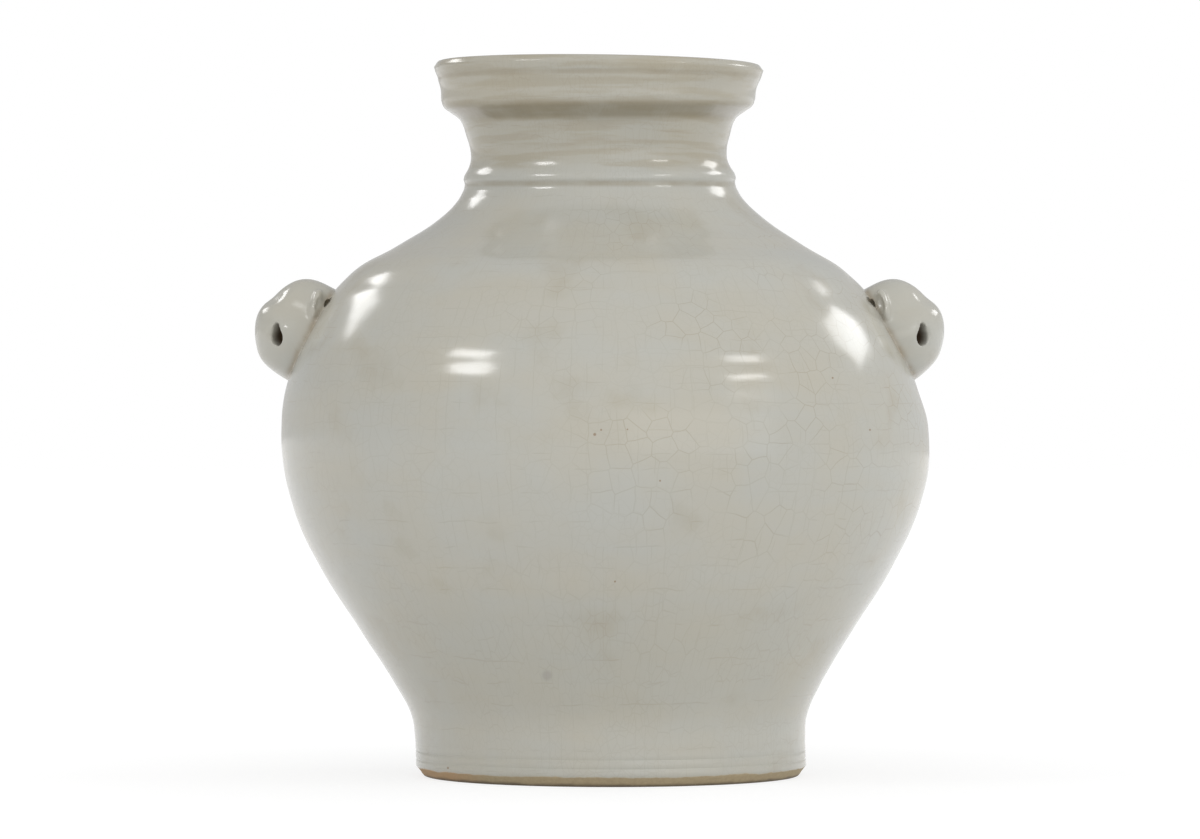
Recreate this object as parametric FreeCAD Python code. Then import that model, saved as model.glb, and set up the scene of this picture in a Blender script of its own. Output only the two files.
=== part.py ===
import FreeCAD, Part
import os

V = FreeCAD.Vector

# A thrown, crackle-glazed jar, fired in one piece with its two moulded head lugs.
# Millimetres, +Z up. The origin is on the ground, under the centre of the belly.
# +X and -X point at the lugs. The mouth stands a little towards -X of the foot.

# Stretches of the outside, from the ground up
foot_height = 16.0
swell_height = 139.0
shoulder_height = 116.0
ring_height = 6.9
waist_height = 8.3
flare_height = 16.8
cove_height = 9.2
collar_height = 15.0

# Radii of the outside
foot_radius = 90.1
belly_radius = 149.7
throat_radius = 63.2
ring_radius = 63.1
waist_radius = 59.3
flare_radius = 63.8
collar_radius = 72.7
mouth_radius = 76.3

# Walls, foot ring and lip
wall = 8.0
base_thickness = 10.0
floor_corner = 14.0
foot_ring_width = 12.0
foot_recess = 5.0
foot_bevel = 4.0
foot_bevel_height = 5.0
lip_radius = 2.8

# Fine turned lines
line_depth = 0.35
line_width = 1.1
first_line_level = 8.2
line_spacing = 4.0
ring_groove = 0.6

# How far the mouth stands off the middle of the foot
lean = 6.2

# Domed head lugs: where they sit on the shoulder, and their size
lug_rise = 49.5
lug_length = 47.4
lug_reach = 24.1
lug_sink = 3.0
luting = 1.0

# The pit in each cheek, which slopes in towards the wall
pit_width = 6.0
pit_height = 10.5
pit_depth = 11.0
pit_reach = 13.4
pit_spread = 21.5
pit_turn = 38.0
pit_rim = 1.0

# The leaf ears, beside the wall at the top of each head
ear_length = 17.0
ear_width = 6.5
ear_thickness = 3.2
ear_rise = 15.5
ear_spread = 22.0
ear_lift = 2.6
ear_tilt = 18.0
ear_turn = 35.0

# Outlines, as shares of the way up and of the way across from one named point to the next
bevel_shape = ((0.42, 0.64),)
swell_shape = ((0.083, 0.022), (0.192, 0.144), (0.365, 0.393), (0.581, 0.708), (0.797, 0.930))
shoulder_shape = (
    (0.185, 0.036), (0.440, 0.176), (0.664, 0.407),
    (0.785, 0.672), (0.889, 0.876), (0.957, 0.967),
)
floor_shape = ((0.71, 0.29),)
ring_levels = (0.36, 0.62, 0.80)
waist_shape = ((0.46, 0.70),)
flare_shape = ((0.55, 0.38),)
cove_shape = ((0.21, 0.24), (0.43, 0.57), (0.65, 0.86))
collar_shape = ((0.36, 0.14), (0.72, 0.64))
head_shape = (
    (0.03, 0.27), (0.08, 0.54), (0.155, 0.708), (0.243, 0.841), (0.344, 0.945), (0.462, 1.0),
    (0.55, 0.965), (0.629, 0.905), (0.705, 0.873), (0.793, 0.812), (0.907, 0.664), (0.975, 0.40),
)

# Levels that follow from the stretches
belly_level = foot_height + swell_height
throat_level = belly_level + shoulder_height
ring_level = throat_level + ring_height
waist_level = ring_level + waist_height
flare_level = waist_level + flare_height
collar_level = flare_level + cove_height
lip_level = collar_level + collar_height
height = lip_level + lip_radius
floor_level = foot_recess + base_thickness

# Clay turned below the ground line, which the last cut takes off flat
spare = 1.0

CENTRE = V(0, 0, 0)
UP = V(0, 0, 1)
ACROSS = V(1, 0, 0)
BACK = V(0, 1, 0)


def at(radius, level):
    return V(radius, 0, level)


def line(start, end):
    return Part.LineSegment(start, end)


def arc(start, middle, end):
    return Part.Arc(start, middle, end)


def stations(start, end, shape):
    """Points from start to end, the middle ones at shares of the rise and of the width."""
    rise = end.z - start.z
    width = end.x - start.x
    middle = [at(start.x + across * width, start.z + up * rise) for up, across in shape]
    return [start] + middle + [end]


def smooth(points, first=None, last=None):
    """A smooth curve through the points, with its two end directions where they matter."""
    curve = Part.BSplineCurve()
    if first is None:
        curve.interpolate(Points=points)
    else:
        curve.interpolate(Points=points, InitialTangent=first, FinalTangent=last)
    return curve


def turned(curves):
    """A solid made by turning a closed outline about the pot's axis, with its seam at the back."""
    wire = Part.Wire([curve.toShape() for curve in curves])
    solid = Part.Face(wire).revolve(CENTRE, UP, 360)
    solid.rotate(CENTRE, UP, 90)
    return solid


# The points that the outside passes through
toe = at(foot_radius - foot_bevel, 0)
heel = at(foot_radius, foot_bevel_height)
foot_top = at(foot_radius, foot_height)
belly = at(belly_radius, belly_level)
throat = at(throat_radius, throat_level)
ring_top = at(ring_radius - ring_groove, ring_level)
waist = at(waist_radius, waist_level)
flare = at(flare_radius, flare_level)
collar = at(collar_radius, collar_level)
lip_outside = at(mouth_radius, lip_level)
lip_inside = at(mouth_radius - 2 * lip_radius, lip_level)

# The one long curve of the body, from the foot over the belly to the throat
body_points = stations(foot_top, belly, swell_shape) + stations(belly, throat, shoulder_shape)[1:]
body_curve = smooth(body_points)


def inward(points, gap):
    """Points of the body's curve moved into the clay by the gap, square to the curve."""
    moved = []
    for point in points:
        along = body_curve.tangent(body_curve.parameter(point))[0]
        moved.append(point - V(along.z, 0, -along.x) * gap)
    return moved


def foot_outline():
    """The bevel and the upright foot with its two turned lines."""
    curves = [line(at(toe.x, -spare), toe), arc(*stations(toe, heel, bevel_shape))]
    here = heel
    for level in (first_line_level, first_line_level + line_spacing):
        low = at(foot_radius, level - line_width / 2)
        bottom = at(foot_radius - line_depth, level)
        high = at(foot_radius, level + line_width / 2)
        curves += [line(here, low), line(low, bottom), line(bottom, high)]
        here = high
    curves.append(line(here, foot_top))
    return curves


def neck_outline():
    """The ring at the throat, the waist, the cove under the collar, the collar and the lip."""
    groove_level, ridge_foot_level, ridge_level = [throat_level + share * ring_height for share in ring_levels]
    ring_groove_point = at(throat_radius - ring_groove, groove_level)
    ridge_foot = at(ring_radius - ring_groove / 2, ridge_foot_level)
    ridge = at(ring_radius, ridge_level)
    lip_crest = at(mouth_radius - lip_radius, height)
    return [
        arc(throat, ring_groove_point, ridge_foot),
        arc(ridge_foot, ridge, ring_top),
        arc(*stations(ring_top, waist, waist_shape)),
        arc(*stations(waist, flare, flare_shape)),
        smooth(stations(flare, collar, cove_shape)),
        smooth(stations(collar, lip_outside, collar_shape)),
        arc(lip_outside, lip_crest, lip_inside),
    ]


def inside_outline():
    """The hollow, from the lip down to the middle of the floor, one wall inside the outside."""
    collar_inside = at(collar_radius - wall, collar_level)
    waist_inside = at(waist_radius - wall, waist_level)
    body_inside = inward(body_points[1:-1], wall)
    corner_top = body_inside[0]
    corner_foot = at(corner_top.x - floor_corner, floor_level)
    return [
        smooth([lip_inside, collar_inside, waist_inside] + body_inside[::-1]),
        arc(*stations(corner_top, corner_foot, floor_shape)),
        line(corner_foot, at(0, floor_level)),
    ]


def underside_outline():
    """The axis, the recess under the base, and the foot ring that stands on the ground."""
    ring_inside = toe.x - foot_ring_width
    recess_edge = at(ring_inside - foot_recess, foot_recess)
    return [
        line(at(0, floor_level), at(0, foot_recess)),
        line(at(0, foot_recess), recess_edge),
        line(recess_edge, at(ring_inside, 0)),
        line(at(ring_inside, 0), at(ring_inside, -spare)),
        line(at(ring_inside, -spare), at(toe.x, -spare)),
    ]


def thrown_body():
    outside = foot_outline() + [body_curve] + neck_outline()
    return turned(outside + inside_outline() + underside_outline())


def clay_core():
    """The body's bulk below half the wall, which keeps the lugs out of the hollow."""
    core = inward(body_points[1:], wall / 2)
    bottom = core[0]
    top = core[-1]
    return turned([
        smooth(core),
        line(top, at(0, top.z)),
        line(at(0, top.z), at(0, bottom.z)),
        line(at(0, bottom.z), bottom),
    ])


def lug_seat():
    """The point of the shoulder that carries a lug, with the directions up the wall and out of it."""
    level = belly_level + lug_rise
    reach = line(at(0, level), at(2 * belly_radius, level)).toShape()
    seat = body_curve.toShape().distToShape(reach)[1][0][0]
    along = body_curve.tangent(body_curve.parameter(seat))[0]
    return seat, along, V(along.z, 0, -along.x)


def head(seat, up_wall, out):
    """The domed head: a muzzle below, a brow and a crown above, round about a line in the wall."""
    low = seat - up_wall * (lug_length / 2) - out * lug_sink
    crown = low + up_wall * lug_length
    radius = lug_reach + lug_sink
    profile = [low + up_wall * (up * lug_length) - out * (off * radius) for up, off in head_shape]
    curve = smooth([low] + profile + [crown], out * -1, out)
    face = Part.Face(Part.Wire([curve.toShape(), line(crown, low).toShape()]))
    return face.revolve(low, up_wall, 360)


def pit_tool(seat):
    """A round-ended slot that cuts the pit in the front cheek to its depth."""
    half = pit_width / 2
    rise = (pit_height - pit_width) / 2
    left = line(V(-half, 0, -rise), V(-half, 0, rise))
    top = arc(V(-half, 0, rise), V(0, 0, rise + half), V(half, 0, rise))
    right = line(V(half, 0, rise), V(half, 0, -rise))
    bottom = arc(V(half, 0, -rise), V(0, 0, -rise - half), V(-half, 0, -rise))
    slot = Part.Wire([curve.toShape() for curve in (left, top, right, bottom)])
    tool = Part.Face(slot).extrude(V(0, 2 * pit_depth, 0))
    tool.translate(V(0, -pit_depth, 0))
    tool.rotate(CENTRE, UP, pit_turn)
    tool.translate(V(seat.x + pit_reach, -pit_spread, seat.z))
    return tool


def rims(shape):
    """The edges where pits open in the round of the head."""
    found = []
    for edge in shape.Edges:
        kinds = {face.Surface.TypeId for face in shape.ancestorsOfType(edge, Part.Face)}
        if "Part::GeomSurfaceOfRevolution" in kinds and len(kinds) == 2:
            found.append(edge)
    return found


def ear(seat, up_wall, out):
    """The front ear: a pointed leaf that stands on the head beside the wall."""
    tip = V(0, 0, ear_length / 2)
    foot = V(0, 0, -ear_length / 2)
    sides = [arc(foot, V(side * ear_width / 2, 0, 0), tip).toShape() for side in (1, -1)]
    leaf = Part.Face(Part.Wire(sides)).extrude(V(0, ear_thickness, 0))
    leaf.translate(V(0, -ear_thickness / 2, 0))
    leaf.rotate(CENTRE, BACK, -ear_tilt)
    leaf.rotate(CENTRE, UP, ear_turn)
    leaf.translate(seat + up_wall * ear_rise + out * ear_lift - BACK * ear_spread)
    return leaf


def lug():
    """The whole lug on +X, down to the middle of the wall."""
    seat, up_wall, out = lug_seat()
    front_pit = pit_tool(seat)
    shape = head(seat, up_wall, out).cut([front_pit, front_pit.mirror(CENTRE, BACK)])
    shape = shape.makeFillet(pit_rim, rims(shape))
    front_ear = ear(seat, up_wall, out)
    shape = shape.fuse([front_ear, front_ear.mirror(CENTRE, BACK)])
    return shape.cut(clay_core())


def seams(shape):
    """The edges where the lugs meet the round of the wall."""
    found = []
    for edge in shape.Edges:
        offsets = [abs(face.CenterOfMass.x) for face in shape.ancestorsOfType(edge, Part.Face)]
        if len(offsets) == 2 and min(offsets) < wall and max(offsets) > throat_radius:
            found.append(edge)
    return found


def leaned(shape):
    """The shape drawn sideways as it rises, with the belly's centre kept over the origin."""
    drift = FreeCAD.Matrix()
    drift.A13 = -lean / height
    drift.A14 = lean / height * belly_level
    return shape.transformGeometry(drift)


def pot():
    right = lug()
    shape = thrown_body().fuse([right, right.mirror(CENTRE, ACROSS)])
    shape = leaned(shape.makeFillet(luting, seams(shape)))
    span = 2 * belly_radius
    ground = Part.makeBox(span, span, span, V(-span / 2, -span / 2, -span))
    return shape.cut(ground)


os.makedirs("parts", exist_ok=True)
pot().exportStep("parts/pot.step")
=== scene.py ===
import math
import bpy
from mathutils import Matrix, Vector, noise


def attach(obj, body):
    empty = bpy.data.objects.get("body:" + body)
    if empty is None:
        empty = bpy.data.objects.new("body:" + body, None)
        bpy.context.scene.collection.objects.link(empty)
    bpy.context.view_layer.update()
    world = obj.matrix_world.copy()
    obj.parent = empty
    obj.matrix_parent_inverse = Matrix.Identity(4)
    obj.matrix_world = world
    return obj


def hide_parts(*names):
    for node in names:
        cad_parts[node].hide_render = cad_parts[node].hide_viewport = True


# A thrown jar with a grey-white crackle glaze, a bare clay foot and two moulded head lugs.
# Blender's units are metres. Sizes of the jar are written in millimetres and turned by MM.

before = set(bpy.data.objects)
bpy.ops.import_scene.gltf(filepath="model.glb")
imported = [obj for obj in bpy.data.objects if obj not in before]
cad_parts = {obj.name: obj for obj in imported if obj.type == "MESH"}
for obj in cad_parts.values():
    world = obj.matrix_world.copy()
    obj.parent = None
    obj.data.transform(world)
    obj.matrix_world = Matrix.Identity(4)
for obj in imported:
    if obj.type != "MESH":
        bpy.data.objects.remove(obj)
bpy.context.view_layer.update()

MM = 0.001
BACKWARDS = Vector((0, 1, 0))
UPWARDS = Vector((0, 0, 1))

# The camera: a long lens in millimetres, level with the belly, placed in metres and dipped in degrees
sensor_width = 36.0
lens = 178.8
camera_distance = 2.755
camera_height = 0.1731
camera_side = -0.0023
camera_dip = 0.18

# Outside of the jar, in millimetres: stretches from the ground up, then radii
foot_height = 16.0
swell_height = 139.0
shoulder_height = 116.0
ring_height = 6.9
waist_height = 8.3
flare_height = 16.8
cove_height = 9.2
collar_height = 15.0
foot_radius = 90.1
belly_radius = 149.7
throat_radius = 63.2
ring_radius = 63.1
waist_radius = 59.3
flare_radius = 63.8
collar_radius = 72.7
mouth_radius = 76.3
wall = 8.0
base_thickness = 10.0
floor_corner = 14.0
foot_ring_width = 12.0
foot_recess = 5.0
foot_bevel = 4.0
foot_bevel_height = 5.0
lip_radius = 2.8
line_depth = 0.2
line_width = 1.1
first_line_level = 8.2
line_spacing = 4.0
lean = 6.2

# The foot's rounded edge: where it leaves the ground, then steps out and up from the toe
toe_flat = 1.0
toe_shape = ((0.4, 0.35), (1.8, 2.2))

# The ring round the throat and the groove below it: steps in from a radius, and up from the throat
groove_inset = 0.6
groove_rise = 2.5
ridge_foot_inset = 0.3
ridge_foot_rise = 3.6
ridge_rise = 4.8
ridge_top_inset = 0.6

# The middle of the round corner inside, as shares of the way in and of the way down
corner_in = 0.29
corner_down = 0.71

belly_level = foot_height + swell_height
throat_level = belly_level + shoulder_height
ring_level = throat_level + ring_height
waist_level = ring_level + waist_height
flare_level = waist_level + flare_height
collar_level = flare_level + cove_height
lip_level = collar_level + collar_height
height = lip_level + lip_radius
floor_level = foot_recess + base_thickness

# Outlines, as shares of the way up and of the way across from one named point to the next
swell_shape = ((0.083, 0.022), (0.192, 0.144), (0.365, 0.393), (0.581, 0.708), (0.797, 0.930))
shoulder_shape = (
    (0.185, 0.036), (0.440, 0.176), (0.664, 0.407),
    (0.785, 0.672), (0.889, 0.876), (0.957, 0.967),
)
waist_shape = ((0.46, 0.70),)
flare_shape = ((0.55, 0.38),)
cove_shape = ((0.21, 0.24), (0.43, 0.57), (0.65, 0.86))
collar_shape = ((0.36, 0.14), (0.72, 0.64))

# Head lugs
lug_rise = 49.5
lug_length = 48.2
lug_reach = 24.1
lug_sink = 3.0
head_shape = (
    (0.03, 0.30), (0.08, 0.57), (0.155, 0.74), (0.243, 0.872), (0.344, 0.967), (0.462, 1.008),
    (0.55, 0.985), (0.629, 0.92), (0.705, 0.885), (0.793, 0.822), (0.907, 0.68), (0.97, 0.50),
)

# Dents and swellings of the head: how far up the wall, out of it and sideways, then reach and height.
# They press mostly across the wall, and this share of their place along it goes into the push.
push_along = 0.35
head_moulding = (
    (6.0, 8.0, 20.0, 8.0, -1.4), (-3.0, 7.5, 24.0, 5.0, 0.9), (-3.0, 23.0, 10.0, 5.0, 0.5),
    (6.0, 20.5, 9.0, 5.5, -1.0), (12.0, 12.0, 15.0, 6.0, 0.4),
)
left_moulding = ((-21.0, 10.0, 0.0, 9.0, 1.5),)

# The pit in each cheek: a round hole, a narrower one above it that makes it a drop, and a sloping
# outer side. Reach is out from the lug's seat, spread is to the front or back, turn is in degrees.
pit_width = 7.2
pit_height = 8.6
pit_depth = 9.0
pit_reach = 13.0
pit_spread = 21.5
pit_turn = 28.0
pit_level = -1.9
drop_width = 4.2
drop_height = 7.0
drop_length = 14.4
drop_reach = 0.2
drop_rise = 2.9
slope_width = 9.5
slope_height = 9.0
slope_depth = 3.0
slope_reach = 3.0
slope_rise = 0.6

# The ears: flaps that stand on the head, with a hollow and a hole between each flap and the wall
ear_length = 17.5
ear_width = 11.0
ear_thickness = 5.6
ear_rise = 13.0
ear_lift = 2.0
ear_spread = 20.6
ear_slope = 24.0
ear_tilt = 15.0
left_ear_spread = 19.6
hollow_rise = 15.0
hollow_lift = 0.3
hollow_spread = 25.0
hollow_size = (4.2, 5.0, 11.0)
hole_rise = 16.6
hole_lift = -2.8
hole_spread = 21.5
hole_size = (3.2, 12.0, 6.4)

# How finely the lugs are modelled, the share of their faces that is kept, and how softly the glaze
# rounds them: rounds of smoothing, each this strong
lug_grain = 0.6
lug_share = 0.3
seam_flow = 80
glaze_flow = 8
pit_flow = 13
flow_strength = 0.5

# The slab of wall that a lug grows out of
patch_reach = 36.0
patch_sink = 0.13
patch_depth = 4.0

# Ridges of the turning, coarse and fine: their height and their gap, and how much they change round
# the jar. They fade towards the lugs, the foot and the lip, and stop where the skin faces inwards.
ridge_coarse = 0.13
ridge_fine = 0.06
coarse_gap = 11.0
fine_gap = 5.2
fine_seed = 40
ridge_change = 0.35
lug_fade = (28, 38)
foot_fade = (14, 24)
lip_fade = (323, 326)
inward_fade = (-0.1, 0.3)
upward_share = 0.4

# The uneven round: how far off it is, its shift, and its grain round the jar and up it
out_of_round = 0.3
round_shift = 0.6
round_grain = 0.9
round_rise = 90.0
round_fade = (2, 40)

# Single grooves as (level, half height, depth, middle and reach in degrees from the camera), full
# over this share of their reach. Then tables of (level, amount): the axis's drift to the right, how
# much lower the front and how much higher the right side hangs, and how far the mouth sinks.
groove_share = 0.6
turning_marks = (
    (226.4, 2.8, 0.5, -45, 60), (222.5, 8.0, 1.3, 50, 50), (189.4, 2.8, 0.25, -30, 40),
    (189.6, 3.4, 0.34, 28, 28), (322.8, 1.5, 0.42, -20, 100), (240.0, 3.0, 0.12, 0, 180),
)
drift = (
    (0, 0), (60, -0.9), (100, -0.5), (140, 0.2), (160, 0), (180, -1.1),
    (200, -1.5), (230, -1.0), (262, -0.1), (300, -0.4), (330, 0.4),
)
front_drop = ((235, 0), (262, 2.0), (290, 2.0), (314, 1.6), (328, 0.2), (331, 0))
side_tilt = ((235, 0), (262, 0.5), (310, 0.4), (330, -0.78))
lip_drop = ((310, 0), (330, 0.93))

# Where the finish finds the lugs: the seam's width, how far the clay stands out, and the pits
lug_zone = 40
crease_width = 3.6
crease_core = 0.3
lug_stand = (0.5, 3.5)
# The pits darken inwards with painted shade: the core's width and rise, and the depths where the painted shade
# starts and is full
pit_core = 6.5
pit_core_rise = 1.0
pit_shade = (1.0, 7.0)

# Colours as they look in plain light, except those that paint in shade
glaze_grey = (177, 177, 170)
glaze_warm = (179, 175, 162)
# Painted shade: this darker glaze colour shades the low body, which faces down
glaze_low_painted_shade = (160, 158, 145)
glaze_stain = (150, 138, 110)
# Painted shade with a brown stain, for the cove, the ring's groove and the underside of the lip
recess_shade_and_stain_brown = (136, 125, 100)
smudge_grey = (150, 148, 140)
crack_brown = (134, 122, 98)
iron_brown = (128, 98, 66)
crease_brown = (146, 130, 104)
# Brown clay with painted shade: the pits darken inwards with this colour
pit_brown_and_shade = (72, 58, 42)
clay_light = (174, 159, 129)
clay_dark = (148, 133, 105)
clay_orange = (176, 142, 104)
# Painted contact shadow along the ground line of the foot
ground_shadow_brown = (84, 74, 60)

# Iron specks: places as (across, level) seen from the front, and their radius; then a grey smudge
# low down. The back carries the same ones.
iron_specks = (
    (-1.8, 160.4, 0.6), (-4.6, 158.4, 0.9), (101.3, 183.3, 0.6), (118.4, 160.1, 0.6), (24.0, 138.1, 0.6),
    (4.3, 93.5, 0.6), (-71.3, 6.5, 0.7), (9.7, 160.6, 0.5),
)
smudge = (-25.9, 50.7, 3.2)

# Crackle: the size of the wide and the fine cells, how uneven the wide ones are, the gaps between
# streaks, the widths of the lines, and how far they wander
wide_cell = 9.0
wide_unevenness = 0.8
fine_cell = 5.0
upright_gap = 8.0
flatwise_gap = 9.0
wide_line = 0.34
fine_line = 0.3
wander = 3.2
wander_size = 14

# The share of a line's width, and of a spot's radius, that is at full strength, and how far a pattern
# moves for each step of its seed
line_core = 0.3
spot_core = 0.4
pattern_shift = (131, 71, 37)
streak_shift = 313

# Levels between which a shade or stain comes in, is full, starts to fade and has gone. The slants
# follow the neck and the lip, which stand lower at the front.
low_band = (22, 48, 60, 105)
cove_band = (flare_level - 2, flare_level + 1.5, collar_level - 2.5, collar_level)
groove_band = (throat_level + 0.2, throat_level + 2, throat_level + 2.6, throat_level + 4.4)
lip_band = (320.4, 322.0, 322.6, 324.0)
neck_slant = 0.032
lip_slant = 0.0125

# How strongly each of them colours the glaze
low_shade = 0.25
cell_tint = 0.12
neck_stain = 0.2
drift_stain = 0.22
streak_stain = 0.3
cove_shade_and_stain = 0.55
groove_shade_and_stain = 0.5
under_lip_shade_and_stain = 0.4
crackle_stain = 0.27
smudge_stain = 0.5
iron_stain = 0.65
crease_stain = 0.6
orange_stain = 0.7
ground_shadow_share = 0.8

# The ragged lower edge of the glaze, and the clay below it
edge_waves = 2.2
edge_nicks = 1.2
glaze_edge = (4.9, 4.1)
bare_from_radius = (70, 73)
# The painted contact shadow at the ground: levels where it has gone and where it is full, and how much its
# edge waves
ground_shadow_edge = (2.9, 1.2)
ground_shadow_waves = 1.8
orange_side = (-50, -72)

# Gloss of the glaze and how much it varies, what bare clay adds to it, and the relief of both
glaze_roughness = 0.13
gloss_change = 0.05
clay_roughness = 0.6
ripple_height = 0.5
grain_height = 0.35
relief_strength = 0.35
relief_depth = 0.0006

# Light: the room's own level, and overhead; what is added to the right and at the front; how white
# the room near the horizon is in a mirrored ray; how much of the floor shows as plain white at the
# foot, how white that is, and where it is all white; and the softboxes as (name, azimuth, elevation,
# distance, width, tall, brightness), aimed at this height
ambient = 0.74
overhead = 0.76
overhead_rise = (0.25, 0.85)
right_lift = 0.18
front_lift = 0.28
mirrored_white = 0.4
horizon_rise = (0.3, 0.05)
floor_size = 24
floor_matt = 0.93
floor_white = 0.72
floor_glow = 1.05
shadow_reach = 0.55
aim_height = 0.2
softboxes = (
    ("left_rim", -133, 29.7, 1.8, 0.60, 0.28, 4.8),
    ("right_rim", 124, 27.5, 1.8, 0.60, 0.36, 4.8),
    ("left_front", -53, 35, 1.8, 0.46, 0.25, 12.0),
    ("right_front", 58, 31.2, 1.8, 0.42, 0.13, 12.0),
    ("front_fill", 34, 6, 2.4, 2.4, 1.5, 0.6),
)

seen_rays = ("Is Camera Ray", "Is Glossy Ray", "Is Transmission Ray")

# Fineness of the turned body: turns round, and millimetres between rings outside and inside
turns = 184
outside_step = 1.6
fine_step = 1.1
inside_step = 8.0
flat_step = 14.0

# Fineness of the other forms, and the gaps in metres under which two points become one
head_turns = 96
patch_turns = 40
egg_turns = 32
egg_rings = 24
line_merge = 0.00005
spin_merge = 0.00002
patch_merge = 0.00001


def leave_edit():
    if bpy.context.mode != "OBJECT":
        bpy.ops.object.mode_set(mode="OBJECT")


def pick(*things):
    """Only these objects are selected, and the first is active."""
    leave_edit()
    bpy.ops.object.select_all(action="DESELECT")
    for thing in things:
        thing.select_set(True)
    bpy.context.view_layer.objects.active = things[0]
    return things[0]


def stations(start, end, shape):
    """Points from start to end, the middle ones at shares of the rise and of the width."""
    (r0, z0), (r1, z1) = start, end
    middle = [(r0 + across * (r1 - r0), z0 + up * (z1 - z0)) for up, across in shape]
    return [start] + middle + [end]


def drawn_line(name, stretches):
    """One mesh line through stretches of (radius, level) points, each with the gap between its rings.

    A stretch is smooth, and a corner may stand between two of them.
    """
    curve = bpy.data.curves.new(name, "CURVE")
    curve.dimensions = "3D"
    for step, points in stretches:
        spline = curve.splines.new("BEZIER")
        spline.bezier_points.add(len(points) - 1)
        gap = sum(math.dist(a, b) for a, b in zip(points, points[1:])) / (len(points) - 1)
        spline.resolution_u = max(1, round(gap / step))
        for knot, (radius, level) in zip(spline.bezier_points, points):
            knot.co = Vector((radius * MM, 0, level * MM))
            knot.handle_left_type = knot.handle_right_type = "AUTO"
    line = bpy.data.objects.new(name, curve)
    bpy.context.scene.collection.objects.link(line)
    pick(line)
    bpy.ops.object.convert(target="MESH")
    bpy.ops.object.mode_set(mode="EDIT")
    bpy.ops.mesh.select_all(action="SELECT")
    bpy.ops.mesh.remove_doubles(threshold=line_merge)
    leave_edit()
    return bpy.context.object


def spin_closed(line, steps):
    """The line turned once round the upright axis."""
    pick(line)
    bpy.ops.object.mode_set(mode="EDIT")
    bpy.ops.mesh.select_all(action="SELECT")
    bpy.ops.mesh.spin(steps=steps, angle=2 * math.pi, center=(0, 0, 0), axis=(0, 0, 1))
    bpy.ops.mesh.select_all(action="SELECT")
    bpy.ops.mesh.remove_doubles(threshold=spin_merge)
    bpy.ops.mesh.normals_make_consistent(inside=False)
    leave_edit()
    return line


# Named points of the outline, as (radius, level)
toe = (foot_radius - foot_bevel, 0)
heel = (foot_radius, foot_bevel_height)
foot_top = (foot_radius, foot_height)
belly = (belly_radius, belly_level)
throat = (throat_radius, throat_level)
groove = (throat_radius - groove_inset, throat_level + groove_rise)
ridge_foot = (ring_radius - ridge_foot_inset, throat_level + ridge_foot_rise)
ridge = (ring_radius, throat_level + ridge_rise)
ring_top = (ring_radius - ridge_top_inset, ring_level)
waist = (waist_radius, waist_level)
flare = (flare_radius, flare_level)
collar = (collar_radius, collar_level)
lip_outside = (mouth_radius, lip_level)
lip_crest = (mouth_radius - lip_radius, height)
lip_inside = (mouth_radius - 2 * lip_radius, lip_level)

body_points = stations(foot_top, belly, swell_shape) + stations(belly, throat, shoulder_shape)[1:]


def inside_points():
    """The hollow, one wall inside the outside, from the lip down."""
    points = [lip_inside, (collar_radius - wall, collar_level), (waist_radius - wall, waist_level)]
    moved = []
    for before, here, after in zip(body_points, body_points[1:], body_points[2:]):
        run = Vector((after[0] - before[0], after[1] - before[1])).normalized()
        moved.append((here[0] - run.y * wall, here[1] + run.x * wall))
    points += moved[::-1]
    return points


def foot_lines():
    """The foot's wall from its bevel up, with two lines turned into it."""
    below = heel
    for level in (first_line_level, first_line_level + line_spacing):
        low = (foot_radius, level - line_width / 2)
        high = (foot_radius, level + line_width / 2)
        yield outside_step, [below, low]
        yield line_width / 4, [low, (foot_radius - line_depth, level), high]
        below = high
    yield outside_step, [below, foot_top]


def thrown_body():
    """The body as it comes off the wheel: half its outline, from the base out and back in, spun round."""
    hollow = inside_points()
    corner_top = hollow[-1]
    corner_foot = (corner_top[0] - floor_corner, floor_level)
    corner_drop = floor_level - corner_top[1]
    corner = (corner_top[0] - corner_in * floor_corner, corner_top[1] + corner_down * corner_drop)
    ring_inside = (toe[0] - foot_ring_width, 0)
    recess_edge = (ring_inside[0] - foot_recess, foot_recess)
    toe_start = (toe[0] - toe_flat, 0)
    toe_points = [toe_start] + [(toe[0] + out, up) for out, up in toe_shape] + [heel]
    waist_points = stations(ring_top, waist, waist_shape)
    flare_points = stations(waist, flare, flare_shape)
    cove_points = stations(flare, collar, cove_shape)
    stretches = [
        (flat_step, [(0, foot_recess), recess_edge]),
        (fine_step, [recess_edge, ring_inside]),
        (inside_step, [ring_inside, toe_start]),
        (fine_step, toe_points),
        *foot_lines(),
        (outside_step, body_points),
        (fine_step, [throat, groove, ridge_foot]),
        (fine_step, [ridge_foot, ridge, ring_top]),
        (fine_step, waist_points + flare_points[1:] + cove_points[1:]),
        (fine_step, stations(collar, lip_outside, collar_shape)),
        (fine_step, [lip_outside, lip_crest, lip_inside]),
        (inside_step, hollow),
        (inside_step, [corner_top, corner, corner_foot]),
        (flat_step, [corner_foot, (0, floor_level)]),
    ]
    return spin_closed(drawn_line("glazed_jar", stretches), turns)


def add_modifier(thing, kind, **settings):
    """One modifier with these settings, applied at once."""
    pick(thing)
    modifier = thing.modifiers.new(kind.lower(), kind)
    for name, value in settings.items():
        setattr(modifier, name, value)
    bpy.ops.object.modifier_apply(modifier=modifier.name)


def settle(thing):
    """The object's place, turn and size go into its mesh."""
    pick(thing)
    bpy.ops.object.transform_apply(location=True, rotation=True, scale=True)


def joined(things):
    pick(*things)
    bpy.ops.object.join()
    return bpy.context.object


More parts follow.
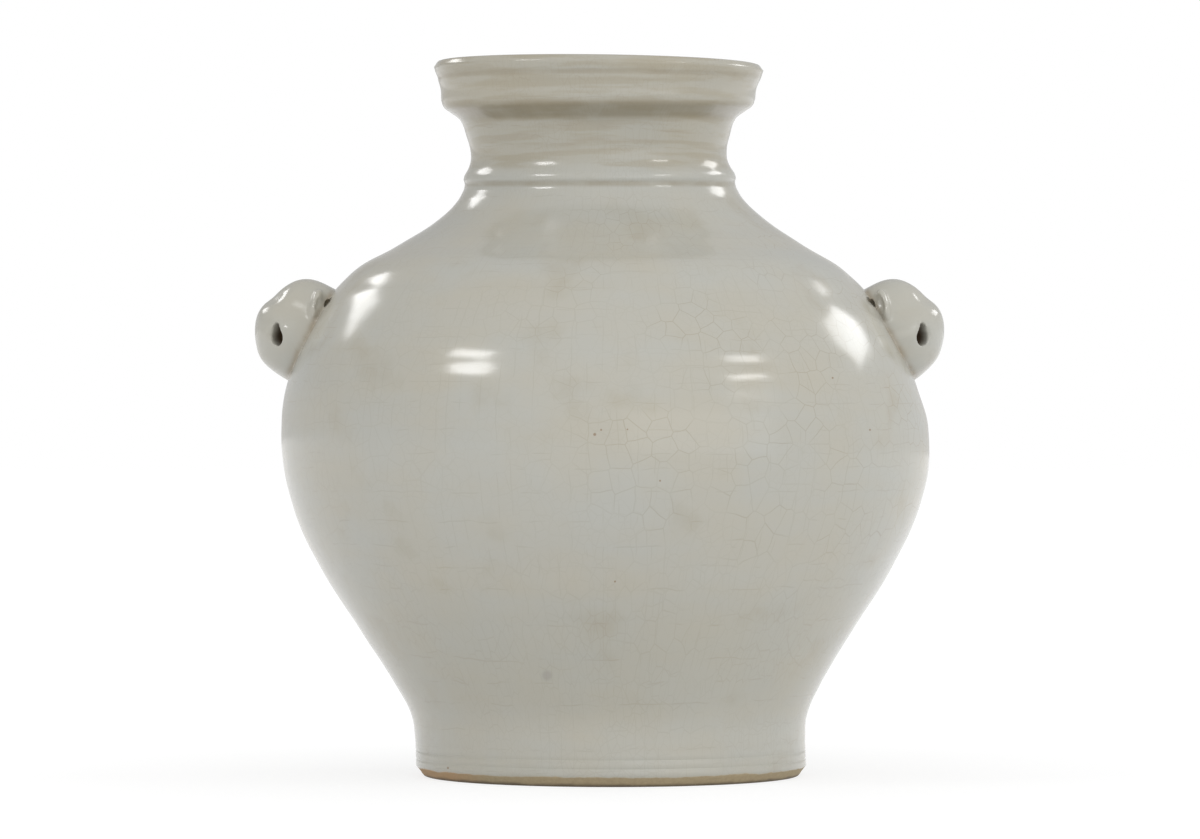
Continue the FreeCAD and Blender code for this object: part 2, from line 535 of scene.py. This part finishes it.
def ball(name, place, sizes, turn=0.0):
    """An egg shape of these half sizes in metres, turned about the upright."""
    leave_edit()
    bpy.ops.mesh.primitive_uv_sphere_add(
        segments=egg_turns, ring_count=egg_rings, radius=1, location=(0, 0, 0),
    )
    egg = bpy.context.object
    egg.name = name
    stretch = Matrix.Diagonal((*sizes, 1))
    egg.matrix_world = Matrix.Translation(place) @ Matrix.Rotation(turn, 4, "Z") @ stretch
    settle(egg)
    return egg


def lug_seat(line):
    """The point of the shoulder that carries a lug, with the directions up the wall and out of it."""
    level = (belly_level + lug_rise) * MM
    points = [vertex.co.copy() for vertex in line.data.vertices]
    points.sort(key=lambda point: point.z)
    below = [point for point in points if point.z <= level][-1]
    above = [point for point in points if point.z > level][0]
    share = (level - below.z) / (above.z - below.z)
    seat = below.lerp(above, share)
    up_wall = (above - below).normalized()
    return seat, up_wall, Vector((up_wall.z, 0, -up_wall.x))


def head_form(seat, up_wall, out):
    """The domed head: a muzzle below, a brow and a crown above, round about a line in the wall."""
    radius = lug_reach + lug_sink
    low = -lug_length / 2
    points = [(off * radius, low + up * lug_length) for up, off in head_shape]
    outline = [(0, low)] + points + [(0, low + lug_length)]
    head = spin_closed(drawn_line("head", [(fine_step, outline)]), head_turns)
    head.matrix_world = Matrix.Translation(seat - out * lug_sink * MM) @ Matrix(
        ((out.x, 0, up_wall.x, 0), (0, 1, 0, 0), (out.z, 0, up_wall.z, 0), (0, 0, 0, 1))
    )
    settle(head)
    return head


def mould(head, frame_of_seat, moulding):
    """Presses dents into the head and raises swellings on it."""
    seat, up_wall, out = frame_of_seat
    for vertex in head.data.vertices:
        offset = (vertex.co - seat) / MM
        off, across, rise = offset.dot(out), offset.y, offset.dot(up_wall)
        away = (out * (off + lug_sink) + BACKWARDS * across + up_wall * push_along * rise).normalized()
        for centre_rise, centre_off, centre_across, reach, swell in moulding:
            gap = Vector((off - centre_off, abs(across) - centre_across, rise - centre_rise)).length
            vertex.co += away * swell * MM * math.exp(-(gap / reach) ** 2)


def wall_patch(line, seat):
    """A slab of the wall round a lug, sunk a little, that the head's soft skirt grows out of."""
    low = seat.z - patch_reach * MM
    high = seat.z + patch_reach * MM
    outer = sorted((v.co.copy() for v in line.data.vertices if low < v.co.z < high), key=lambda point: point.z)
    outer = [point - Vector((patch_sink * MM, 0, 0)) for point in outer]
    inner = [point - Vector((patch_depth * MM, 0, 0)) for point in reversed(outer)]
    ring = outer + inner
    mesh = bpy.data.meshes.new("wall_patch")
    mesh.from_pydata(ring, [(i, (i + 1) % len(ring)) for i in range(len(ring))], [])
    patch = bpy.data.objects.new("wall_patch", mesh)
    bpy.context.scene.collection.objects.link(patch)
    half = patch_reach * MM / seat.x
    patch.rotation_euler.z = half
    settle(patch)
    bpy.ops.object.mode_set(mode="EDIT")
    bpy.ops.mesh.select_all(action="SELECT")
    bpy.ops.mesh.edge_face_add()
    bpy.ops.mesh.spin(steps=patch_turns, angle=2 * half, center=(0, 0, 0), axis=(0, 0, -1))
    bpy.ops.mesh.select_all(action="SELECT")
    bpy.ops.mesh.remove_doubles(threshold=patch_merge)
    bpy.ops.mesh.normals_make_consistent(inside=False)
    leave_edit()
    return patch


def egg_on_head(name, frame_of_seat, front, rise, lift, spread, sizes):
    """An egg shape that leans with the head's side. Sizes: out of the wall, off the head, and along."""
    seat, up_wall, out = frame_of_seat
    away = BACKWARDS * front
    slope = math.radians(ear_slope)
    tilt = math.radians(ear_tilt)
    along = (up_wall * math.cos(slope) - away * math.sin(slope) + out * math.sin(tilt)).normalized()
    thick = (away * math.cos(slope) + up_wall * math.sin(slope)).cross(along).normalized()
    stand = along.cross(thick)
    place = seat + (up_wall * rise + out * lift + away * spread) * MM
    egg = ball(name, Vector(), [size / 2 * MM for size in sizes])
    egg.matrix_world = Matrix.Translation(place) @ Matrix((thick, stand, along)).transposed().to_4x4()
    settle(egg)
    return egg


def pit_forms(seat, front):
    """The drop-shaped hole of one cheek, as the shapes that are taken out of it."""
    turn = math.radians(-front * pit_turn)
    forms = (
        (pit_reach, pit_level, (pit_width, 2 * pit_depth, pit_height)),
        (pit_reach + drop_reach, pit_level + drop_rise, (drop_width, drop_length, drop_height)),
        (pit_reach + slope_reach, pit_level + slope_rise, (slope_width, 2 * slope_depth, slope_height)),
    )
    for reach, level, sizes in forms:
        place = seat + Vector((reach * MM, front * pit_spread * MM, level * MM))
        yield ball("pit", place, [size / 2 * MM for size in sizes], turn=turn)


def smoothed(thing, rounds):
    """One skin over all the parts, with soft seams."""
    add_modifier(thing, "REMESH", mode="VOXEL", voxel_size=lug_grain * MM, use_smooth_shade=True)
    add_modifier(thing, "SMOOTH", factor=flow_strength, iterations=rounds)


def lug(line, side):
    """A whole lug on one side, with a skirt of wall round it: side is 1 for +X and -1 for -X."""
    frame_of_seat = lug_seat(line)
    seat = frame_of_seat[0]
    moulding = head_moulding + (left_moulding if side < 0 else ())
    whole = joined([head_form(*frame_of_seat), wall_patch(line, seat)])
    smoothed(whole, seam_flow)
    mould(whole, frame_of_seat, moulding)
    spread = ear_spread if side > 0 else left_ear_spread
    sizes = (ear_thickness, ear_width, ear_length)
    ears = [
        egg_on_head("ear", frame_of_seat, front, ear_rise, ear_lift, spread, sizes) for front in (-1, 1)
    ]
    whole = joined([whole] + ears)
    smoothed(whole, glaze_flow)
    for front in (-1, 1):
        cutters = list(pit_forms(seat, front))
        cutters.append(egg_on_head(
            "hollow", frame_of_seat, front, hollow_rise, hollow_lift, hollow_spread, hollow_size,
        ))
        for cutter in cutters:
            add_modifier(whole, "BOOLEAN", operation="DIFFERENCE", solver="EXACT", object=cutter)
            bpy.data.objects.remove(cutter)
    smoothed(whole, pit_flow)
    add_modifier(whole, "DECIMATE", ratio=lug_share)
    return mirrored(whole) if side < 0 else whole


def mirrored(thing):
    """The same form on the other side of the jar."""
    thing.scale.x = -1
    settle(thing)
    bpy.ops.object.mode_set(mode="EDIT")
    bpy.ops.mesh.select_all(action="SELECT")
    bpy.ops.mesh.normals_make_consistent(inside=False)
    leave_edit()
    return thing


def ramp(value, low, high):
    """0 at low, 1 at high, smooth between."""
    share = min(1.0, max(0.0, (value - low) / (high - low)))
    return share * share * (3 - 2 * share)


def read_off(table, level):
    """The value at a level of a measured table of (level, value) pairs, smooth between them."""
    for (low, first), (high, last) in zip(table, table[1:]):
        if level <= high:
            return first + (last - first) * ramp(level, low, high)
    return table[-1][1]


def ridge_height(level, direction):
    """How far the potter's ridges stand out of the turned surface, in millimetres."""
    slow = Vector((direction.x, direction.y, 0)) * ridge_change
    out = ridge_coarse * noise.noise(slow + UPWARDS * (level / coarse_gap))
    out += ridge_fine * noise.noise(slow * 2 + UPWARDS * (level / fine_gap + fine_seed))
    bearing = math.degrees(math.atan2(direction.x, -direction.y))
    for mark, spread, depth, middle, reach in turning_marks:
        turn = abs((bearing - middle + 180) % 360 - 180)
        full = ramp(-turn, -reach, -groove_share * reach)
        out -= depth * math.exp(-((level - mark) / spread) ** 2) * full
    return out


def hand_thrown(jar, seat):
    """Leaves the marks of the potter's hand: ridges, an uneven round, a drifting axis and a tilted mouth."""
    lug_centre = Vector((seat.x, 0, seat.z)) / MM
    normals = [vertex.normal.copy() for vertex in jar.data.vertices]
    for vertex, normal in zip(jar.data.vertices, normals):
        place = vertex.co / MM
        radial = Vector((place.x, place.y, 0))
        level = place.z
        if radial.length > 1:
            direction = radial.normalized()
            from_lug = (Vector((abs(place.x), place.y, level)) - lug_centre).length
            outside = ramp(normal.dot(direction) + upward_share * normal.z, *inward_fade)
            below_lip = ramp(-level, -lip_fade[1], -lip_fade[0])
            share = outside * ramp(from_lug, *lug_fade) * ramp(level, *foot_fade) * below_lip
            place += normal * share * ridge_height(level, direction)
            grain = Vector((direction.x * round_grain, direction.y * round_grain, level / round_rise))
            uneven = noise.noise(grain) - round_shift
            place += direction * out_of_round * uneven * ramp(level, *round_fade)
        place.x += read_off(drift, level)
        place.z -= read_off(front_drop, level) * -place.y / throat_radius
        place.z += read_off(side_tilt, level) * place.x / throat_radius - read_off(lip_drop, level)
        place.x -= lean * (level - belly_level) / height
        vertex.co = place * MM


def between(points, value):
    """The second number of a list of pairs, in step with the first, straight between them."""
    for (low, first), (high, last) in zip(points, points[1:]):
        if value <= high:
            return first + (last - first) * (value - low) / (high - low)
    return points[-1][1]


def crease_marks(jar, line):
    """Writes on the mesh how near a lug's seam the clay is, how deep in a pit, and whether on a lug."""
    seat, up_wall, out = lug_seat(line)
    wall_line = sorted((vertex.co.z / MM, vertex.co.x / MM) for vertex in line.data.vertices)
    head_line = [(0.0, 0.0)] + list(head_shape) + [(1.0, 0.0)]
    near_seam = []
    in_pit = []
    on_lug = []
    for vertex in jar.data.vertices:
        place = Vector((abs(vertex.co.x), vertex.co.y, vertex.co.z)) / MM
        offset = place - seat / MM
        crease = 0.0
        depth = 0.0
        stands_out = 0.0
        if offset.length < lug_zone:
            off, across, rise = offset.dot(out) + lug_sink, offset.y, offset.dot(up_wall)
            share = min(1.0, max(0.0, 0.5 + rise / lug_length))
            from_head = math.hypot(off, across) - between(head_line, share) * (lug_reach + lug_sink)
            from_head = max(from_head, abs(rise) - lug_length / 2)
            from_wall = math.hypot(place.x, place.y) - between(wall_line, place.z)
            crease = ramp(-max(from_head, from_wall), -crease_width, -crease_core)
            stands_out = ramp(from_wall, *lug_stand)
            front = -1 if across < 0 else 1
            turn = math.radians(pit_turn)
            way_in = Vector((-math.sin(turn), -front * math.cos(turn), 0))
            from_pit = offset - Vector((pit_reach, front * pit_spread, pit_level + pit_core_rise))
            along = from_pit.dot(way_in)
            if (from_pit - way_in * along).length < pit_core:
                depth = ramp(along, *pit_shade)
        near_seam.append(crease)
        in_pit.append(depth)
        on_lug.append(stands_out)
    for name, values in (("crease", near_seam), ("pit", in_pit), ("lug", on_lug)):
        jar.data.attributes.new(name, "FLOAT", "POINT").data.foreach_set("value", values)


def make_jar():
    """The whole jar: body and lugs as one skin, the ear holes cut one at a time, then the potter's marks."""
    jar = thrown_body()
    body_line = drawn_line("body_line", [(outside_step, body_points)])
    seat = lug_seat(body_line)[0]
    for side in (1, -1):
        one = lug(body_line, side)
        add_modifier(jar, "BOOLEAN", operation="UNION", solver="EXACT", object=one)
        bpy.data.objects.remove(one)
    for side, front in ((1, -1), (1, 1), (-1, -1), (-1, 1)):
        hole = egg_on_head("hole", lug_seat(body_line), front, hole_rise, hole_lift, hole_spread, hole_size)
        hole = mirrored(hole) if side < 0 else hole
        add_modifier(jar, "BOOLEAN", operation="DIFFERENCE", solver="EXACT", object=hole)
        bpy.data.objects.remove(hole)
    pick(jar)
    bpy.ops.object.shade_smooth()
    crease_marks(jar, body_line)
    bpy.data.objects.remove(body_line)
    hand_thrown(jar, seat)
    return jar


def srgb(red, green, blue):
    """A colour as read off a screen, turned to linear light."""
    parts = [channel / 255 for channel in (red, green, blue)]
    return tuple(p / 12.92 if p <= 0.04045 else ((p + 0.055) / 1.055) ** 2.4 for p in parts) + (1.0,)


class Wire:
    """A value on its way through a material. Sums on it add Math nodes."""

    def __init__(self, finish, socket):
        self.finish = finish
        self.socket = socket

    def __add__(self, other):
        return self.finish.sum("ADD", self, other)

    def __sub__(self, other):
        return self.finish.sum("SUBTRACT", self, other)

    def __mul__(self, other):
        return self.finish.sum("MULTIPLY", self, other)

    def __radd__(self, other):
        return self.finish.sum("ADD", other, self)

    def __rsub__(self, other):
        return self.finish.sum("SUBTRACT", other, self)

    def __rmul__(self, other):
        return self.finish.sum("MULTIPLY", other, self)


class Finish:
    """The nodes of a material, or of the room's light, while they are made."""

    def __init__(self, owner):
        owner.use_nodes = True
        self.owner = owner
        self.tree = owner.node_tree
        self.tree.nodes.clear()

    def add(self, kind, settings=None, inputs=None, output=0):
        """Any node: its settings first, then the values or links of its sockets."""
        node = self.tree.nodes.new("ShaderNode" + kind)
        for name, value in (settings or {}).items():
            setattr(node, name, value)
        for name, value in (inputs or {}).items():
            if isinstance(value, Wire):
                self.tree.links.new(value.socket, node.inputs[name])
            else:
                node.inputs[name].default_value = value
        return Wire(self, node.outputs[output]) if len(node.outputs) else None

    def sum(self, operation, *values):
        return self.add("Math", {"operation": operation}, dict(enumerate(values)))

    def larger(self, first, *others):
        """The largest of these values."""
        for other in others:
            first = self.sum("MAXIMUM", first, other)
        return first

    def step(self, value, low, high):
        """0 below low, 1 above high, smooth between. Low may be the larger one."""
        first, last = (0.0, 1.0) if low < high else (1.0, 0.0)
        inputs = {"Value": value, "From Min": min(low, high), "From Max": max(low, high)}
        inputs.update({"To Min": first, "To Max": last})
        return self.add("MapRange", {"interpolation_type": "SMOOTHSTEP"}, inputs)

    def band(self, value, start, full, fading, gone):
        """0 below start, 1 from full to fading, 0 above gone, smooth between."""
        return self.step(value, start, full) * self.step(value, gone, fading)

    def mix(self, share, first, last):
        """From the first colour to the last."""
        return self.add("Mix", {"data_type": "RGBA"}, {0: share, 6: first, 7: last}, output=2)

    def scaled(self, place, stretch):
        return self.add("VectorMath", {"operation": "MULTIPLY"}, {0: place, 1: stretch})

    def moved(self, place, seed):
        """The same place in another part of a pattern."""
        shift = tuple(part * seed for part in pattern_shift)
        return self.add("VectorMath", {"operation": "ADD"}, {0: place, 1: shift})

    def clouds(self, place, size, seed, detail=3.0):
        """Soft noise about 0.5, with features of this size in millimetres."""
        inputs = {"Vector": self.moved(place, seed), "Scale": 1 / size, "Detail": detail}
        return self.add("TexNoise", inputs=inputs)

    def patches(self, place, size, seed, low, high, detail=3.0):
        """0 where the clouds of this size are below low, 1 where they are above high."""
        return self.step(self.clouds(place, size, seed, detail), low, high)

    def cracks(self, place, cell, width, seed, randomness=1.0):
        """Thin lines between cells of this size, both in millimetres."""
        inputs = {"Vector": self.moved(place, seed), "Scale": 1 / cell, "Randomness": randomness}
        settings = {"voronoi_dimensions": "2D", "feature": "DISTANCE_TO_EDGE"}
        edge = self.add("TexVoronoi", settings, inputs, output="Distance")
        return self.step(edge, width / cell, line_core * width / cell)

    def streaks(self, along, gap, width, seed):
        """Thin parallel lines at uneven gaps about this large, both in millimetres."""
        settings = {"voronoi_dimensions": "1D", "feature": "DISTANCE_TO_EDGE"}
        inputs = {"W": along + streak_shift * seed, "Scale": 1 / gap}
        edge = self.add("TexVoronoi", settings, inputs, output="Distance")
        return self.step(edge, width / gap, line_core * width / gap)

    def spot(self, place, across, level, radius):
        """1 on a small round spot, 0 round it, for a place whose depth has been taken out."""
        inputs = {0: place, 1: (across, 0, level)}
        gap = self.add("VectorMath", {"operation": "DISTANCE"}, inputs, output="Value")
        return self.step(gap, radius, spot_core * radius)


class Skin:
    """Where a point of the jar is, as values for its finish, in millimetres."""

    def __init__(self, finish):
        metres = finish.add("TexCoord", output="Object")
        self.place = finish.add("VectorMath", {"operation": "SCALE"}, {0: metres, "Scale": 1 / MM})
        self.across, back, self.level = [
            finish.add("SeparateXYZ", inputs={0: self.place}, output=axis) for axis in "XYZ"
        ]
        flat = finish.scaled(self.place, (1, 1, 0))
        self.radius = finish.add("VectorMath", {"operation": "LENGTH"}, {0: flat}, output="Value")
        self.neck_level = self.level - neck_slant * back
        self.lip_level = self.level - lip_slant * back

        # The skin as if it were unrolled, its width taken round the belly, with a wander in it
        turn = finish.sum("ARCTAN2", back, self.across) * belly_radius
        flattened = finish.add("CombineXYZ", inputs={0: turn, 1: self.level - 0.5 * self.radius})
        inputs = {"Vector": self.place, "Scale": 1 / wander_size, "Detail": 2.0}
        wobble = finish.add("TexNoise", inputs=inputs, output="Color")
        inputs = {0: wobble, 1: (wander, wander, 0), 2: flattened}
        self.unrolled = finish.add("VectorMath", {"operation": "MULTIPLY_ADD"}, inputs)


def crackle_lines(finish, skin):
    """The crackle: wide cells, more on the right, fine ones, and upright and flatwise streaks in patches.

    The foot's side and the neck have more of the fine cells. The lugs have little of any.
    """
    turn, rise = [finish.add("SeparateXYZ", inputs={0: skin.unrolled}, output=axis) for axis in "XY"]
    netted = finish.larger(finish.step(skin.level, 130, 60), finish.step(skin.level, 255, 275))
    right = finish.step(skin.across, -70, 30)
    faint = finish.patches(skin.place, 22, 5.0, 0.38, 0.62)
    strong = finish.patches(skin.place, 34, 6.0, 0.4, 0.64)
    wide = finish.cracks(skin.unrolled, wide_cell, wide_line, 1.0, wide_unevenness)
    wide = wide * (0.25 + 0.75 * strong) * (0.4 + 0.6 * right) * (1 - 0.5 * netted)
    fine = finish.cracks(skin.unrolled, fine_cell, fine_line, 2.0)
    fine = fine * (0.10 + 0.40 * faint) * (0.5 + 0.5 * netted)
    upright = finish.streaks(turn, upright_gap, fine_line, 3.0)
    upright = upright * finish.patches(skin.place, 13, 18.0, 0.46, 0.6)
    flatwise = finish.streaks(rise, flatwise_gap, fine_line, 4.0)
    flatwise = flatwise * finish.patches(skin.place, 15, 19.0, 0.48, 0.6)
    on_lug = finish.add("Attribute", {"attribute_name": "lug"}, output="Fac")
    return finish.larger(wide, fine, 0.55 * upright, 0.6 * flatwise) * (1 - 0.8 * on_lug)


def glaze_colour(finish, skin):
    """Grey where the glaze lies thick, warmer where it is thin, with soft bands from the wheel and painted
    shade low down.
    """
    thick = finish.patches(skin.place, 46, 7.0, 0.34, 0.66, detail=4.0)
    bands = finish.patches(finish.scaled(skin.place, (0.12, 0.12, 1)), 13, 8.0, 0.3, 0.7)
    colour = finish.mix(0.6 * thick + 0.4 * bands, srgb(*glaze_warm), srgb(*glaze_grey))
    # Painted shade on the low body, which faces down, away from the light
    colour = finish.mix(low_shade * finish.band(skin.level, *low_band), colour, srgb(*glaze_low_painted_shade))
    settings = {"voronoi_dimensions": "2D", "feature": "F1"}
    inputs = {"Vector": finish.moved(skin.unrolled, 1.0), "Scale": 1 / wide_cell}
    inputs["Randomness"] = wide_unevenness
    cells = finish.add("TexVoronoi", settings, inputs, output="Color")
    tint = finish.add("SeparateColor", inputs={0: cells}, output=0)
    return finish.mix(cell_tint * tint, colour, srgb(*glaze_grey))


def stained(finish, skin, colour):
    """Stains on the neck, in drifts and in streaks, and painted shade with a brown stain in the cove, the
    groove and under the lip.
    """
    neck = finish.step(skin.neck_level, ring_level, ring_level + 8)
    drifts = finish.patches(skin.place, 30, 9.0, 0.55, 0.75, detail=4.0)
    colour = finish.mix(finish.larger(neck_stain * neck, drift_stain * drifts), colour, srgb(*glaze_stain))
    streaky = finish.patches(finish.scaled(skin.place, (0.1, 0.1, 1)), 3.6, 20.0, 0.42, 0.62)
    streaky = streaky * finish.step(skin.neck_level, ring_level, ring_level + 4)
    colour = finish.mix(streak_stain * streaky, colour, srgb(*glaze_stain))
    # Painted shade with a brown stain where the cove, the ring's groove and the lip's underside face away from
    # the light
    cove = cove_shade_and_stain * finish.band(skin.neck_level, *cove_band)
    groove_shade = groove_shade_and_stain * finish.band(skin.neck_level, *groove_band)
    under_lip = under_lip_shade_and_stain * finish.band(skin.lip_level, *lip_band)
    uneven = finish.patches(skin.place, 16, 10.0, 0.35, 0.6)
    shaded = finish.larger(cove, groove_shade, under_lip) * (0.6 + 0.4 * uneven)
    return finish.mix(shaded, colour, srgb(*recess_shade_and_stain_brown))


def specked(finish, skin, colour):
    """Iron specks and a grey smudge. Their depth is left out, so the back carries them too."""
    seen = finish.scaled(skin.place, (1, 0, 1))
    colour = finish.mix(smudge_stain * finish.spot(seen, *smudge), colour, srgb(*smudge_grey))
    specks = finish.larger(*[finish.spot(seen, *speck) for speck in iron_specks])
    return finish.mix(iron_stain * specks, colour, srgb(*iron_brown))


def pooled(finish, skin, colour):
    """Glaze pooled brown in the creases of the lugs, and pits darkened inwards: brown clay with painted shade.
    """
    crease = finish.add("Attribute", {"attribute_name": "crease"}, output="Fac")
    pit = finish.add("Attribute", {"attribute_name": "pit"}, output="Fac")
    pools = crease * (0.3 + 0.7 * finish.patches(skin.place, 9, 17.0, 0.35, 0.65))
    colour = finish.mix(crease_stain * pools, colour, srgb(*crease_brown))
    return finish.mix(pit, colour, srgb(*pit_brown_and_shade))


def bare_foot(finish, skin):
    """1 where the clay is bare, under the ragged edge of the glaze."""
    waves = edge_waves * (finish.clouds(skin.place, 16, 11.0) - 0.5)
    nicks = edge_nicks * (finish.clouds(skin.place, 4, 12.0) - 0.5)
    edge = skin.level + waves + nicks
    return finish.step(edge, *glaze_edge) * finish.step(skin.radius, *bare_from_radius)


def clay_colour(finish, skin, grain):
    """Grainy clay, orange at the left of the foot, with a painted contact shadow at the ground."""
    # Painted contact shadow: the clay darkens along the ground
    ground_shadow = finish.step(skin.level + ground_shadow_waves * finish.clouds(skin.place, 9, 14.0), *ground_shadow_edge)
    clay = finish.mix(grain, srgb(*clay_dark), srgb(*clay_light))
    clay = finish.mix(orange_stain * finish.step(skin.across, *orange_side), clay, srgb(*clay_orange))
    return finish.mix(ground_shadow_share * ground_shadow, clay, srgb(*ground_shadow_brown))


def crackle_glaze():
    """The jar's finish: crackled and stained glaze, bare clay at the foot, and painted shade in hollows, low
    down and at the ground.
    """
    finish = Finish(bpy.data.materials.new("crackle_glaze"))
    skin = Skin(finish)
    colour = stained(finish, skin, glaze_colour(finish, skin))
    colour = finish.mix(crackle_stain * crackle_lines(finish, skin), colour, srgb(*crack_brown))
    colour = pooled(finish, skin, specked(finish, skin, colour))
    bare = bare_foot(finish, skin)
    grain = finish.clouds(skin.place, 1.6, 13.0, detail=5.0)
    colour = finish.mix(bare, colour, clay_colour(finish, skin, grain))
    gloss = glaze_roughness + gloss_change * finish.clouds(skin.place, 12, 15.0)
    roughness = gloss + bare * clay_roughness
    ripple = finish.clouds(skin.place, 22, 16.0, detail=2.0)
    relief = ripple * ripple_height + bare * grain * grain_height
    inputs = {"Strength": relief_strength, "Distance": relief_depth, "Height": relief}
    bump = finish.add("Bump", inputs=inputs, output="Normal")
    inputs = {"Base Color": colour, "Roughness": roughness, "Normal": bump, "IOR": 1.5}
    shader = finish.add("BsdfPrincipled", inputs=inputs)
    finish.add("OutputMaterial", inputs={"Surface": shader})
    return finish.owner


def make_camera():
    data = bpy.data.cameras.new("camera")
    data.lens = lens
    data.sensor_width = sensor_width
    camera = bpy.data.objects.new("camera", data)
    camera.location = (camera_side, -camera_distance, camera_height)
    camera.rotation_euler = (math.radians(90 - camera_dip), 0, 0)
    bpy.context.scene.collection.objects.link(camera)
    bpy.context.scene.camera = camera


def softbox(name, azimuth, elevation, distance, width, tall, brightness):
    """A soft rectangle of light that looks at the jar. Azimuth is from the camera, to the right."""
    data = bpy.data.lights.new(name, "AREA")
    data.shape = "RECTANGLE"
    data.size = width
    data.size_y = tall
    data.energy = brightness * math.pi * width * tall
    lamp = bpy.data.objects.new(name, data)
    turn = math.radians(azimuth)
    lift = math.radians(elevation)
    aim = UPWARDS * aim_height
    way = Vector((math.sin(turn) * math.cos(lift), -math.cos(turn) * math.cos(lift), math.sin(lift)))
    lamp.location = aim + way * distance
    lamp.rotation_euler = way.to_track_quat("Z", "Y").to_euler()
    bpy.context.scene.collection.objects.link(lamp)


def seen_directly(finish):
    """1 for rays from the camera, and for mirrored and refracted ones."""
    return finish.larger(*[finish.add("LightPath", output=name) for name in seen_rays])


def make_room():
    """The light of the room, even but for a little from the right and the front. The camera sees white."""
    room = Finish(bpy.data.worlds.new("studio"))
    bpy.context.scene.world = room.owner
    way = room.add("TexCoord", output="Generated")
    right, back, rise = [room.add("SeparateXYZ", inputs={0: way}, output=axis) for axis in "XYZ"]
    strength = ambient + (overhead - ambient) * room.step(rise, *overhead_rise)
    strength = strength + right_lift * right - front_lift * back
    camera, mirror, through = [room.add("LightPath", output=name) for name in seen_rays]
    horizon = room.step(rise, *horizon_rise)
    white_share = room.larger(camera, through, mirror * horizon * mirrored_white)
    strength = strength + white_share * (1 - strength)
    white = room.add("Background", inputs={"Color": (1, 1, 1, 1), "Strength": strength})
    room.add("OutputWorld", inputs={"Surface": white})


def make_floor():
    """A white floor that keeps the jar's shadow near its foot and is plain white far off."""
    bpy.ops.mesh.primitive_plane_add(size=floor_size, location=(0, 0, 0))
    floor = bpy.context.object
    floor.name = "floor"
    finish = Finish(bpy.data.materials.new("white_floor"))
    matt = finish.add("BsdfDiffuse", inputs={"Color": (floor_matt, floor_matt, floor_matt, 1)})
    white = finish.add("Emission", inputs={"Color": (1, 1, 1, 1), "Strength": floor_glow})
    place = finish.add("TexCoord", output="Object")
    away = finish.add("VectorMath", {"operation": "LENGTH"}, {0: place}, output="Value")
    plain = floor_white + (1 - floor_white) * finish.step(away, foot_radius * MM, shadow_reach)
    surface = finish.add("MixShader", inputs={0: seen_directly(finish) * plain, 1: matt, 2: white})
    finish.add("OutputMaterial", inputs={"Surface": surface})
    floor.data.materials.append(finish.owner)


make_camera()
make_room()
make_floor()
for lamp in softboxes:
    softbox(*lamp)
jar = make_jar()
jar.data.materials.clear()
jar.data.materials.append(crackle_glaze())
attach(jar, "root")
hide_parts("pot")
bpy.context.scene.view_settings.view_transform = "Standard"
